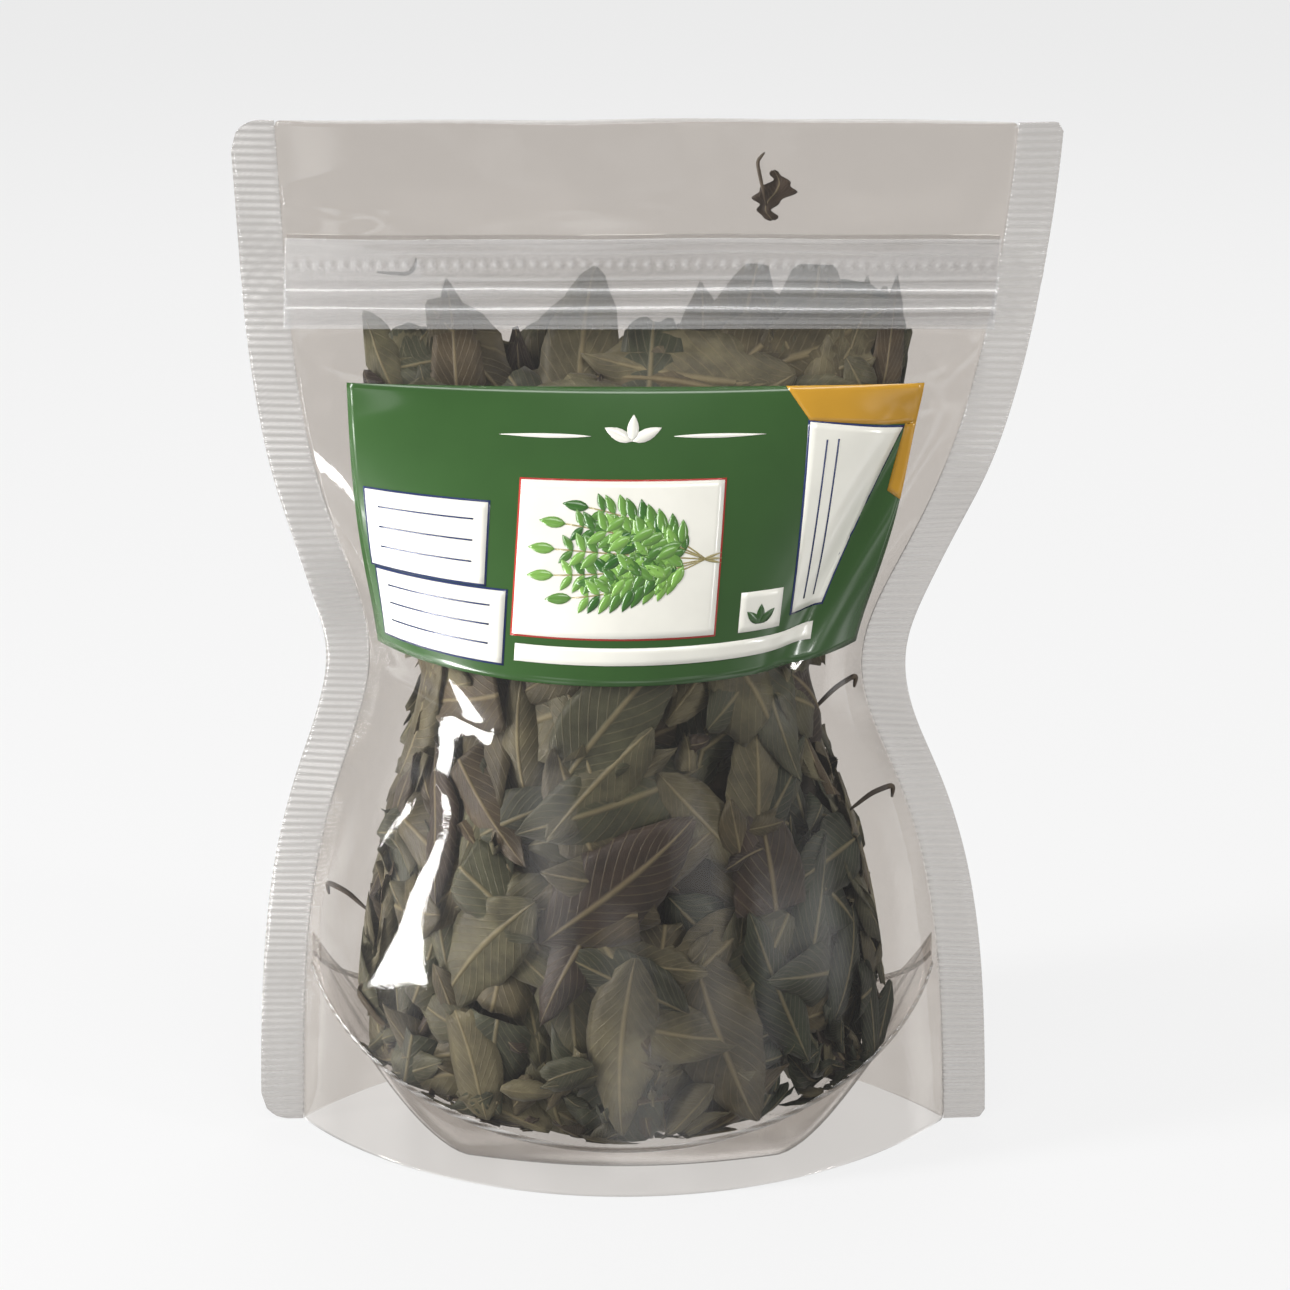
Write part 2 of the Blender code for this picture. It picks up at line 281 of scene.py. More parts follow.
def linear(code):
    """Linear red, green and blue of an sRGB hex colour, by the standard's power curve."""
    values = [int(code[i:i + 2], 16) / 255 for i in (1, 3, 5)]
    return tuple(v / 12.92 if v <= 0.04045 else ((v + 0.055) / 1.055) ** 2.4 for v in values)


def new_finish(name):
    """An empty material with its output node: (material, nodes' tree)."""
    made = bpy.data.materials.new(name)
    made.use_nodes = True
    made.node_tree.nodes.clear()
    return made, made.node_tree


def node(tree, kind, settings=None, **links):
    """Adds a shader node, with settings as {attribute or input: value} and links as input=socket,
    or as input=node for that node's first output. An input's number is written with a _ before."""
    made = tree.nodes.new("ShaderNode" + kind)
    for key, value in (settings or {}).items():
        if isinstance(key, str) and hasattr(made, key):
            setattr(made, key, value)
        else:
            made.inputs[key].default_value = value
    for key, socket in links.items():
        number = int(key[1:]) if key[0] == "_" else key.replace("_", " ")
        source = socket.outputs[0] if isinstance(socket, bpy.types.Node) else socket
        tree.links.new(source, made.inputs[number])
    return made


FILM_MIRROR, SLANT_MIRROR, SLANT_POWER = 0.024, 0.80, 5.0


def clear_film_finish(name, tint, haze, haze_share, roughness, crinkle, rib_pitch=None):
    """Polyester laminate, cast and calendered: it lets tinted light through, mirrors at a glance
    (Schlick's curve: a base share plus the fifth power of the slant) and has a faint milky haze.
    Fine crinkles, a few millimetres long, break the gloss. Stripes of haze stand for hot-bar ribs."""
    made, tree = new_finish(name)
    place = node(tree, "TexCoord")
    fine = node(tree, "TexNoise", {"Scale": 260.0, "Detail": 3.0, "Roughness": 0.55},
                Vector=place.outputs["Object"])
    broad = node(tree, "TexNoise", {"Scale": 46.0, "Detail": 1.0, "Roughness": 0.4},
                 Vector=place.outputs["Object"])
    relief = node(tree, "Bump", {"Strength": 0.35 * crinkle, "Distance": 0.0012},
                  Height=broad.outputs["Fac"])
    relief = node(tree, "Bump", {"Strength": 0.10 * crinkle, "Distance": 0.0004},
                  Height=fine.outputs["Fac"], Normal=relief.outputs["Normal"])
    through = node(tree, "BsdfTransparent", {"Color": (*linear(tint), 1)})
    milk = node(tree, "BsdfPrincipled",
                {"Base Color": (*linear(haze), 1), "Roughness": 0.45}, Normal=relief.outputs["Normal"])
    body = node(tree, "MixShader", {"Fac": haze_share},
                _1=through, _2=milk)
    if rib_pitch:
        height = node(tree, "SeparateXYZ", None, Vector=place.outputs["Object"])
        wave = node(tree, "Math", {"operation": "MULTIPLY", 1: 2 * math.pi / rib_pitch},
                    _0=height.outputs["Z"])
        wave = node(tree, "Math", {"operation": "SINE"}, _0=wave)
        patchy = node(tree, "Math", {"operation": "MULTIPLY_ADD", 1: 0.22, 2: -0.02},
                      _0=broad.outputs["Fac"])
        share = node(tree, "Math", {"operation": "MULTIPLY_ADD"}, _0=wave,
                     _1=patchy, _2=patchy)
        tree.links.new(share.outputs[0], body.inputs[0])
    gloss = node(tree, "BsdfGlossy", {"Color": (1, 1, 1, 1), "Roughness": roughness},
                 Normal=relief.outputs["Normal"])
    slant = node(tree, "LayerWeight", {"Blend": 0.5}, Normal=relief.outputs["Normal"])
    steep = node(tree, "Math", {"operation": "POWER", 1: SLANT_POWER}, _0=slant.outputs["Facing"])
    glance = node(tree, "Math", {"operation": "MULTIPLY_ADD", 1: SLANT_MIRROR, 2: FILM_MIRROR},
                  _0=steep)
    whole = node(tree, "MixShader", None,
                 _0=glance, _1=body, _2=gloss)
    node(tree, "OutputMaterial", None, Surface=whole)
    return made


film_finish = clear_film_finish("glossy_laminate_film", "#f2f0ee", "#d9d6d4", 0.010, 0.06, 0.95)
for side, name in ((FRONT, "front_film"), (BACK, "back_film")):
    skin = grid_mesh(f"clear_{name}", film_points[side], flip=side == BACK)
    film = add_piece(f"clear_{name}", skin, film_finish, [name])
    thicken(film, SKIN, offset=0, levels=1)

# ---------------------------------------------------------------------------------------------
# The side seals: both films welded flat over 9 mm by ribbed hot bars, which leave fine cross
# ribs, and die-cut to the pouch's outline with rounded corners on the fold side.
# ---------------------------------------------------------------------------------------------
RIB_PITCH, RIB_HEIGHT = 0.00105, 0.00010
HAZE_PITCH = 0.0016  # coarser than the ribs, so that it shows
SEAL_ROWS, SEAL_COLUMNS = 860, 9


def side_seal(end, corner):
    """A flat fin: outward from the chord by the seal's width, swaying where the waist gathers it,
    with rounded corners, and ribs as a sine of height that fades at both edges."""
    out = np.linspace(0, 1, SEAL_COLUMNS)[None, :]
    t = np.linspace(0, 1, SEAL_ROWS)[:, None]
    over = np.clip((out * SIDE_SEAL - SIDE_SEAL + corner) / corner, 0, 1)
    trim = corner * (1 - np.sqrt(1 - over**2))
    z = trim + t * (HEIGHT - 2 * trim)
    x = end * (half_chord(z) + out * SIDE_SEAL)
    waist = np.exp(-(((z - WAIST_HEIGHT) / 0.050) ** 2))
    sway = out * waist * (0.0016 * np.sin(z / 0.0105 + end) + 0.0008 * np.sin(z / 0.0047 + 3 * end))
    sway = sway + out * 0.0006 * np.sin(z / 0.019 + 2 * end)
    crushed = np.exp(-(((z - (zip_low.z + zip_high.z) / 2) / 0.009) ** 2))
    sway = sway + crushed * 0.00035 * np.sin(out * 9 + z / 0.0009) * np.sin(z / 0.0021 + out * 4)
    ribs = RIB_HEIGHT * np.sin(2 * math.pi * z / RIB_PITCH) * np.sin(math.pi * out) ** 0.5
    y = film_wave(x, z) + sway + ribs
    return np.stack([x, y, z], axis=-1)


seal_finish = clear_film_finish("welded_film_seal", "#e3e1df", "#fbfaf8", 0.12, 0.10, 0.8, HAZE_PITCH)
for end, corner, name in ((-1, 0.0065, "left"), (1, 0.0020, "right")):
    fin = grid_mesh(f"side_seal_{name}", side_seal(end, corner), flip=end == -1)
    thicken(add_piece(f"side_seal_{name}", fin, seal_finish), 2 * SKIN)

# ---------------------------------------------------------------------------------------------
# The bottom gusset: a third film, folded up between the other two and welded to them in arches.
# Its middle has dropped flat on to the shelf, and the old fold line still shows across it.
# ---------------------------------------------------------------------------------------------
GUSSET_SIDE, GUSSET_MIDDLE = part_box("bottom_gusset")[1].z, 0.012
GUSSET_FLAT, GUSSET_TIP = 0.034, 0.985


def seal_height(x):
    """Height of the arched weld: a quarter ellipse from the middle up to each side corner."""
    reach = np.clip(np.abs(x) / half_chord(GUSSET_SIDE), 0, 1)
    return GUSSET_MIDDLE + (GUSSET_SIDE - GUSSET_MIDDLE) * (1 - np.sqrt(1 - reach**2))


def gusset_form(u, v):
    """The opened fold: u across on a sine, v from front weld to back weld on a flat-bottomed curve,
    with a soft ridge along the old fold and shallow buckles that run in from the corners."""
    tip = half_chord(GUSSET_SIDE) * GUSSET_TIP
    x = tip * np.sin(math.pi / 2 * u) + 0 * v
    edge = film_depth(x, seal_height(x), BACK) - 0.0004
    beyond = np.clip((np.abs(x) - GUSSET_FLAT) / (tip - GUSSET_FLAT), 0, 1)
    rise = beyond**1.6 * GUSSET_SIDE
    curl = np.clip(2 * np.abs(v) - 1, 0, 1) ** 2
    fold = 0.0006 * np.exp(-((v / 0.035) ** 2)) * (1 - curl)
    buckle = 0.0011 * beyond * (1 - curl) * np.sin(v * 9 + np.sign(u)) * np.sin(math.pi * beyond)
    z = rise + (seal_height(x) - rise) * curl + fold + buckle
    return np.stack([x, v * edge, np.maximum(z, 0.0001)], axis=-1)


gusset_grid = gusset_form(np.linspace(-1, 1, 97)[None, :], np.linspace(-1, 1, 73)[:, None])
gusset = add_piece("clear_bottom_gusset", grid_mesh("clear_bottom_gusset", gusset_grid),
                   film_finish, ["bottom_gusset"])
thicken(gusset, SKIN)


def blurred(points, times):
    """A grid averaged with its neighbours along both directions, its border kept."""
    for _ in range(times):
        inner = (points[1:-1, 1:-1] * 2 + points[:-2, 1:-1] + points[2:, 1:-1]
                 + points[1:-1, :-2] + points[1:-1, 2:]) / 6
        points = points.copy()
        points[1:-1, 1:-1] = inner
    return points


def sampled(points, a, z):
    """A film grid read between its points, in proportion to the distance from each."""
    a, z = np.broadcast_arrays(a, z)
    column = np.clip((a + 1) / 2 * (FILM_COLUMNS - 1), 0, FILM_COLUMNS - 1.001)
    row = np.clip(z / HEIGHT * (FILM_ROWS - 1), 0, FILM_ROWS - 1.001)
    j, i = column.astype(int), row.astype(int)
    s, t = (column - j)[..., None], (row - i)[..., None]
    low = points[i, j] * (1 - s) + points[i, j + 1] * s
    high = points[i + 1, j] * (1 - s) + points[i + 1, j + 1] * s
    return low * (1 - t) + high * t


def half_arc(z):
    """Half the length of film between the side seals at a height."""
    return arc_radius(z) * np.arcsin(np.clip(half_chord(z) / arc_radius(z), -1, 1))


film_normals = {side: normals_of(blurred(film_points[side], 2), side) for side in (FRONT, BACK)}


def on_film(along, z, lift, side):
    """The point a given length along the film from its middle, lifted out along the normal."""
    a = along / half_arc(z)
    normal = sampled(film_normals[side], a, z)
    normal = normal / np.linalg.norm(normal, axis=-1, keepdims=True)
    return sampled(blurred(film_points[side], 1), a, z) + np.asarray(lift)[..., None] * normal


def weld_line(side):
    """A raised bead along the arched weld, 1.4 mm wide, its lift a half sine across."""
    x = np.linspace(-0.985, 0.985, 221)[None, :] * half_chord(GUSSET_SIDE)
    across = np.linspace(-1, 1, 7)[:, None]
    z = seal_height(x) + across * 0.0007
    along = arc_radius(z) * np.arcsin(np.clip(x / arc_radius(z), -1, 1))
    return on_film(along, z, 0.00010 + 0.00022 * np.cos(across * math.pi / 2) + 0 * x, side)


for side, name in ((FRONT, "front"), (BACK, "back")):
    bead = grid_mesh(f"gusset_weld_{name}", weld_line(side), flip=side == BACK)
    thicken(add_piece(f"gusset_weld_{name}", bead, seal_finish), SKIN)

# ---------------------------------------------------------------------------------------------
# The press zip: two extruded polyethylene strips welded inside the films. Seen through the film
# each is a band of round ridges between thin flange edges, with a row of spot welds above.
# ---------------------------------------------------------------------------------------------
ZIP_RIDGES = ((0.0089, 0.00025, 0.00035), (0.0066, 0.00012, 0.00030), (0.0010, 0.00035, 0.00040),
              (-0.0016, 0.00085, 0.00075), (-0.0056, 0.00085, 0.00075), (-0.0083, 0.00025, 0.00040))
SPOT_HEIGHT, SPOT_PITCH = 0.0041, 0.0026
ZIP_REACH = 0.0028  # the strips run on into the seals
ZIP_HALF, ZIP_FACE = 0.0095, 0.00175


def zip_band(side):
    """A strip whose face rises in a bell at each ridge, and in a row of dots by a squared sine."""
    x = np.linspace(zip_low.x - ZIP_REACH, zip_high.x + ZIP_REACH, 321)[None, :]
    up = np.linspace(-ZIP_HALF, ZIP_HALF, 77)[:, None]
    z = (zip_low.z + zip_high.z) / 2 + up
    face = ZIP_FACE + 0 * x * up
    for centre, height, width in ZIP_RIDGES:
        wander = 0.00012 * np.sin(x / 0.011 + centre * 900)
        face = face + height * np.exp(-(((up - centre - wander) / width) ** 2))
    spots = np.exp(-(((up - SPOT_HEIGHT) / 0.0008) ** 2)) * np.sin(math.pi * x / SPOT_PITCH) ** 4
    face = face + 0.00035 * spots + 0.0002 * np.sin(x / 0.019 + side) * np.cos(up / 0.004)
    return np.stack(np.broadcast_arrays(x, side * face + film_wave(x, z), z), axis=-1)


zip_finish = clear_film_finish("extruded_zip_strip", "#f8f8f8", "#ffffff", 0.15, 0.06, 0.25)
for side, name, node_name in ((FRONT, "front", "zip_groove_strip"), (BACK, "back", "zip_rib_strip")):
    band = grid_mesh(f"press_zip_{name}", zip_band(side), flip=side == BACK)
    thicken(add_piece(f"press_zip_{name}", band, zip_finish, [node_name]), 0.00025)

# ---------------------------------------------------------------------------------------------
# The label: a glossy printed film sticker that follows the bulge. Its ground is leaf green, with
# a mustard corner, bare off-white panels, ruled writing lines and a picture of green sprigs.
# ---------------------------------------------------------------------------------------------
MM = 0.001
THIN_INK = 0.00002
LABEL_HALF = 60
LABEL_TALL = 61.5
LABEL_RISE = 0.0028
label_heights = np.linspace(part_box("front_label")[0].z, 0.185, 200)
label_slope = np.gradient(half_depth(label_heights), label_heights)
label_run = np.concatenate([[0], np.cumsum(np.sqrt(1 + label_slope[1:] ** 2) * np.diff(label_heights))])


def on_label(p, q, lift):
    """The point p mm right of the label's middle and q mm above its foot, lifted in mm."""
    p, q = np.broadcast_arrays(np.asarray(p, float), np.asarray(q, float))
    z = np.interp(q * MM, label_run, label_heights) + LABEL_RISE
    return on_film(p * MM, z, np.full(p.shape, 0.30 + lift) * MM, FRONT)


def label_patch(corners, lift, step=1.6):
    """A four-cornered patch (foot left, foot right, top right, top left), blended across."""
    corners = np.array(corners, float)
    wide = max(np.hypot(*(corners[1] - corners[0])), np.hypot(*(corners[2] - corners[3])))
    tall = max(np.hypot(*(corners[3] - corners[0])), np.hypot(*(corners[2] - corners[1])))
    s = np.linspace(0, 1, 2 + int(wide / step))[None, :, None]
    t = np.linspace(0, 1, 2 + int(tall / step))[:, None, None]
    flat = (corners[0] * (1 - s) + corners[1] * s) * (1 - t) + (corners[3] * (1 - s) + corners[2] * s) * t
    return on_label(flat[..., 0], flat[..., 1], lift)


def box_patch(left, foot, right, top, lift):
    """A patch with level and upright sides, in mm on the label."""
    return label_patch([(left, foot), (right, foot), (right, top), (left, top)], lift)


def joined_grids(name, grids, uvs=None, tones=None):
    """One mesh made of many grids, with a UV for each point and a tone for each grid if given."""
    points, quads, start = [], [], 0
    for grid in grids:
        rows, columns = grid.shape[:2]
        index = start + np.arange(rows * columns).reshape(rows, columns)
        corners = [index[:-1, :-1], index[:-1, 1:], index[1:, 1:], index[1:, :-1]]
        quads.append(np.stack(corners, axis=-1).reshape(-1, 4))
        points.append(grid.reshape(-1, 3))
        start += rows * columns
    mesh = bpy.data.meshes.new(name)
    mesh.from_pydata(np.concatenate(points).tolist(), [], np.concatenate(quads).tolist())
    mesh.shade_smooth()
    if uvs is not None:
        used = np.empty(len(mesh.loops), dtype=np.int32)
        mesh.loops.foreach_get("vertex_index", used)
        flat = np.concatenate([uv.reshape(-1, 2) for uv in uvs])
        mesh.uv_layers.new(name="leaf").data.foreach_set("uv", flat[used].reshape(-1))
    if tones is not None:
        sizes = [grid.shape[0] * grid.shape[1] for grid in grids]
        tone = mesh.attributes.new("tone", "FLOAT", "POINT")
        tone.data.foreach_set("value", np.repeat(np.asarray(tones, float), sizes))
    return mesh


def print_finish(name, code, roughness=0.24):
    """Printed and varnished polypropylene: even ink under a clear gloss, with a trace of mottle."""
    made, tree = new_finish(name)
    place = node(tree, "TexCoord")
    mottle = node(tree, "TexNoise", {"Scale": 90.0, "Detail": 3.0},
                  Vector=place.outputs["Object"])
    colour = linear(code)
    ink = node(tree, "Mix", {"data_type": "RGBA", 6: (*(c * 0.88 for c in colour), 1),
                                       7: (*(min(1, c * 1.08) for c in colour), 1)},
               _0=mottle.outputs["Fac"])
    relief = node(tree, "Bump", {"Strength": 0.12, "Distance": 0.0006},
                  Height=mottle.outputs["Fac"])
    shader = node(tree, "BsdfPrincipled",
                  {"Roughness": roughness, "Coat Weight": 0.4, "Coat Roughness": 0.08},
                  Base_Color=ink.outputs[2], Normal=relief.outputs["Normal"])
    node(tree, "OutputMaterial", None, Surface=shader)
    return made


def print_piece(name, grids, finish, thickness=0.00003, nodes=()):
    """A printed piece made of patches, as one mesh with the thickness of its ink or sticker."""
    thicken(add_piece(name, joined_grids(name, grids), finish, nodes), thickness)


green_ink = print_finish("leaf_green_print", "#325427")
white_ink = print_finish("off_white_print", "#e6e4da")
mustard_ink = print_finish("mustard_print", "#c08f2a")
navy_ink = print_finish("navy_print", "#23305c")
red_ink = print_finish("red_print", "#a8342c")

print_piece("label_ground", [box_patch(-LABEL_HALF, 0, LABEL_HALF, LABEL_TALL, 0)], green_ink,
            0.00008, ["front_label"])
print_piece("label_mustard_corner", [
    label_patch([(36.5, 53.5), (60, 50.5), (60, LABEL_TALL), (31, LABEL_TALL)], 0.09),
    label_patch([(56.5, 35), (60, 33), (60, 51), (57.5, 51)], 0.09)], mustard_ink)

PANELS = {
    "upper_left": [(-57, 19.2), (-29, 19.2), (-29, 36.4), (-57, 36.4)],
    "lower_left": [(-56, 3.2), (-24.2, 3.2), (-24.2, 18.2), (-56, 18.2)],
    "right": [(37, 11.5), (45, 11.5), (57, 50), (36.6, 53.2)],
}
SHEETS = {
    "picture": [(-22.3, 9.7), (19.5, 9.7), (19.5, 41.7), (-22.3, 41.7)],
    "strip": [(-21.5, 4.2), (43.5, 4.2), (43.5, 7.8), (-21.5, 7.8)],
    "square": [(24.8, 9.4), (34.2, 9.4), (34.2, 17.8), (24.8, 17.8)],
}


def grown(corners, by):
    """The four corners moved out from their middle by a margin in mm."""
    middle = np.mean(corners, axis=0)
    return [tuple(np.array(c) + by * np.sign(np.array(c) - middle)) for c in corners]


print_piece("label_panel_outlines", [label_patch(grown(c, 0.45), 0.09) for c in PANELS.values()],
            navy_ink)
print_piece("label_picture_outline", [label_patch(grown(SHEETS["picture"], 0.4), 0.09)], red_ink)
print_piece("label_panels", [label_patch(c, 0.17) for c in (*PANELS.values(), *SHEETS.values())],
            white_ink)

rules = [box_patch(-54, q, -32, q + 0.35, 0.25) for q in (23.5, 28.0, 32.5)]
rules += [box_patch(-53, q, -27.5, q + 0.35, 0.25) for q in (6.8, 10.8, 14.8)]
rules += [label_patch([(p, 14), (p + 0.35, 14), (p + 1.4, 49), (p + 1.05, 49)], 0.25)
          for p in (39.3, 41.8)]
print_piece("label_ruled_lines", rules, navy_ink)


def flat_leaf(centre, angle, length, width, lift, rows=7, columns=3):
    """A printed leaf outline: half width a sine of the length, drawn to a point at the tip."""
    t = np.linspace(0, 1, rows)[:, None]
    b = np.linspace(-1, 1, columns)[None, :]
    half = width / 2 * np.sin(math.pi * t**0.85) ** 0.9 + 0.02
    along, across = t * length, b * half
    p = centre[0] + math.cos(angle) * along - math.sin(angle) * across
    q = centre[1] + math.sin(angle) * along + math.cos(angle) * across
    return on_label(p, q, lift)


def sprig(root, angle, length, pairs, bend, rng):
    """A compound leaf: leaflets in pairs along a bending stalk, largest in the middle, one at the
    tip. Gives the leaflets' grids and the stalk's."""
    t = np.linspace(0, 1, 12)
    turn = angle + bend * t
    step = length / 11
    p = root[0] + np.concatenate([[0], np.cumsum(np.cos(turn[:-1]) * step)])
    q = root[1] + np.concatenate([[0], np.cumsum(np.sin(turn[:-1]) * step)])
    side = np.stack([-np.sin(turn), np.cos(turn)], axis=-1) * 0.16
    line = np.stack([p, q], axis=-1)
    both = np.stack([line - side, line + side], axis=1)
    stalk = on_label(both[..., 0], both[..., 1], 0.22)
    leaflets = []
    for k in range(pairs):
        at = 0.22 + 0.74 * k / pairs
        x, y, way = np.interp(at, t, p), np.interp(at, t, q), np.interp(at, t, turn)
        size = 5.4 * math.sin(math.pi * (0.18 + 0.70 * at)) ** 0.6
        for hand in (-1, 1):
            lean = way + hand * rng.uniform(0.75, 1.0)
            leaflets.append(flat_leaf((x, y), lean, size, size * 0.42, 0.26 + 0.02 * rng.random()))
    leaflets.append(flat_leaf((p[-1], q[-1]), turn[-1], 5.6, 2.3, 0.27))
    return leaflets, stalk


rng = np.random.default_rng(41)
pictured, stalks = [], []
for angle, length, bend in ((2.50, 27, 0.5), (2.78, 30, 0.25), (3.05, 31, 0.05), (3.30, 31, -0.12),
                            (3.58, 28, -0.35), (2.66, 21, 0.35), (3.43, 21, -0.2)):
    leaflets, stalk = sprig((16.5, 25.5), angle, length, 9, bend, rng)
    pictured += leaflets
    stalks.append(stalk)
sprig_finish, tree = new_finish("sprig_print")
tone = node(tree, "Attribute", {"attribute_name": "tone"})
greens = node(tree, "ValToRGB", None, Fac=tone.outputs["Fac"])
greens.color_ramp.elements[0].color = (*linear("#2c5a22"), 1)
greens.color_ramp.elements[1].color = (*linear("#86b455"), 1)
shader = node(tree, "BsdfPrincipled", {"Roughness": 0.24, "Coat Weight": 0.4,
                                                 "Coat Roughness": 0.08},
              Base_Color=greens.outputs["Color"])
node(tree, "OutputMaterial", None, Surface=shader)
tones = rng.uniform(0, 0.85, len(pictured))
leaf_print = add_piece("label_pictured_leaves", joined_grids("label_pictured_leaves", pictured,
                                                             tones=tones),
                       sprig_finish)
thicken(leaf_print, THIN_INK)
bunch = print_finish("stalk_print", "#9a8f62")
stalks += [flat_leaf((16.0, 25.5), a, 4.0, 0.5, 0.30) for a in (-0.25, 0.0, 0.3)]
print_piece("label_pictured_stalks", stalks, bunch, THIN_INK)

ornament = [flat_leaf((0, 50.0), a, 6.5, 2.6, 0.12) for a in (0.45, math.pi - 0.45)]
ornament += [flat_leaf((0, 50.0), math.pi / 2, 5.6, 2.4, 0.12)]
ornament += [flat_leaf((8.5, 51.0), 0.0, 19, 0.9, 0.12, rows=13)]
ornament += [flat_leaf((-8.5, 51.0), math.pi, 19, 0.9, 0.12, rows=13)]
print_piece("label_ornament", ornament, white_ink, THIN_INK)
badge = [flat_leaf((29.5, 10.8), a, 4.2, 1.8, 0.26) for a in (0.75, math.pi / 2, math.pi - 0.75)]
print_piece("label_badge_leaves", badge, green_ink, THIN_INK)

# ---------------------------------------------------------------------------------------------
# The leaves: loose curry leaflets, shade dried, brittle, curled and partly broken. Each is a thin
# blade with a midrib, and they lie in layers against the film and on the heap's side faces.
# ---------------------------------------------------------------------------------------------
LEAF_SKIN = 0.00022
NEAREST_FILM, LEAF_CEILING, GUSSET_ROOM = 0.0011, 0.196, 0.0012
FURTHEST_ALONG = 0.975
EDGE_BEYOND, EDGE_FOOT, EDGE_TOP, EDGE_ROOM = 0.0045, 0.020, 0.172, 0.0020
leaf_rng = np.random.default_rng(7)


def leaf_blades(places, rows, columns, side, lay=None):
    """Leaf surfaces, as (leaf, row, column, 3), with their UVs.

    A blade is an ovate outline: half width a power of a sine that leans to the base, drawn to a
    point. It is bent along its length, folded at the midrib, twisted, curled and rippled at its
    edges, turned to its angle, and laid that deep inside the film, never through its far side.
    """
    pick = {key: np.asarray(value)[:, None, None] for key, value in places.items()}
    first, last = pick["start"], pick["end"]
    t = first + (last - first) * np.linspace(0, 1, rows)[None, :, None]
    b = np.linspace(-1, 1, columns)[None, None, :]
    outline = np.sin(math.pi * np.clip(t, 0.004, 0.996) ** 0.82) ** 0.85
    ragged = 1 + pick["rag"] * (0.10 * np.sin(t * 31 + pick["seed"] + 2 * np.sign(b))
                                + 0.07 * np.sin(t * 67 + 3 * pick["seed"] + np.sign(b)))
    half = pick["width"] / 2 * outline * np.where(np.abs(b) > 0.99, ragged, 1) + 0.0002
    jag = pick["rag"] * 0.0016 * np.sin(b * 5 + pick["seed"] * 2) * (t == last)
    lengthwise = pick["length"] * (t - 0.5) + jag
    crosswise = b * half + pick["sweep"] * pick["length"] * (t - 0.5) ** 2
    relief = pick["bend"] * (2 * t - 1) ** 2 + pick["fold"] * np.abs(b) * outline
    relief = relief + pick["curl"] * b**4 * outline + pick["twist"] * b * (2 * t - 1)
    relief = relief + pick["ripple"] * b**2 * np.sin(t * 17 + pick["seed"])
    relief = relief - 0.00022 * np.exp(-((b / 0.16) ** 2)) * outline
    u = np.cos(pick["angle"]) * lengthwise - np.sin(pick["angle"]) * crosswise
    v = np.sin(pick["angle"]) * lengthwise + np.cos(pick["angle"]) * crosswise
    depth = pick["depth"] + relief + pick["tilt_u"] * u + pick["tilt_v"] * v
    z = pick["height"] + v
    a = (pick["along"] + u) / half_arc(np.clip(z, 0.004, HEIGHT))
    a = FURTHEST_ALONG * np.tanh(a / FURTHEST_ALONG * 1.02)
    if lay:
        points = lay(pick["along"] + u, z, np.maximum(depth, 0))
    else:
        points = laid_inside(a, z, np.maximum(depth, NEAREST_FILM), side)
    return points, np.broadcast_to(
        np.stack(np.broadcast_arrays(t, (b + 1) / 2), axis=-1), (len(places["along"]), rows, columns, 2))


def core_width(z):
    """Half width of the heap's middle: inside the seals, and less where the gusset rises."""
    low = np.clip(z / GUSSET_SIDE, 0.02, 1) ** (1 / 1.6)
    return np.minimum(np.maximum(half_chord(z) - 0.017, 0.004), 0.016 + 0.042 * low)


def laid_at_edge(end, across, z, depth):
    """Points on the heap's side face: beyond the core by 4.5 mm less the depth, and drawn in
    between the films by a hyperbolic tangent."""
    z = EDGE_FOOT + np.logaddexp(0, (z - EDGE_FOOT) / 0.002) * 0.002
    z = np.minimum(z, EDGE_TOP)
    x = core_width(z) + EDGE_BEYOND - np.minimum(depth, 0.0042)
    radius = arc_radius(z)
    turned = np.clip(end * np.arcsin(np.clip(x / radius, 0, 1)) * radius / half_arc(z), -1, 1)
    front = np.abs(film_form(turned, z, FRONT)[..., 1])
    back = np.abs(film_form(turned, z, BACK)[..., 1])
    room = np.maximum(np.minimum(front, back) - EDGE_ROOM, 0.0006)
    return np.stack([end * x, room * np.tanh(across / room), z], axis=-1)


def laid_inside(a, z, depth, side):
    """Points a given depth inside the filled film: kept above the gusset and on their own side."""
    floor = seal_height(a * half_chord(np.clip(z, 0, HEIGHT))) + GUSSET_ROOM
    lowest = np.maximum(floor - depth * 0.36, GUSSET_ROOM)
    z = lowest + np.logaddexp(0, (z - lowest) / 0.0015) * 0.0015
    z = np.clip(z, 0, LEAF_CEILING)
    step = 1e-4
    here = film_form(a, z, side)
    across = film_form(a + step, z, side) - here
    upward = film_form(a, z + step, side) - here
    normal = np.cross(across, upward) * (1 if side == FRONT else -1)
    normal = normal / np.maximum(np.linalg.norm(normal, axis=-1, keepdims=True), 1e-12)
    points = here - depth[..., None] * normal
    clear = 0.0003 + 0.25 * np.abs(here[..., 1])
    points[..., 1] = side * np.maximum(side * points[..., 1], np.minimum(clear, 0.0025))
    points[..., 2] = np.maximum(points[..., 2], 0.0010)
    return points


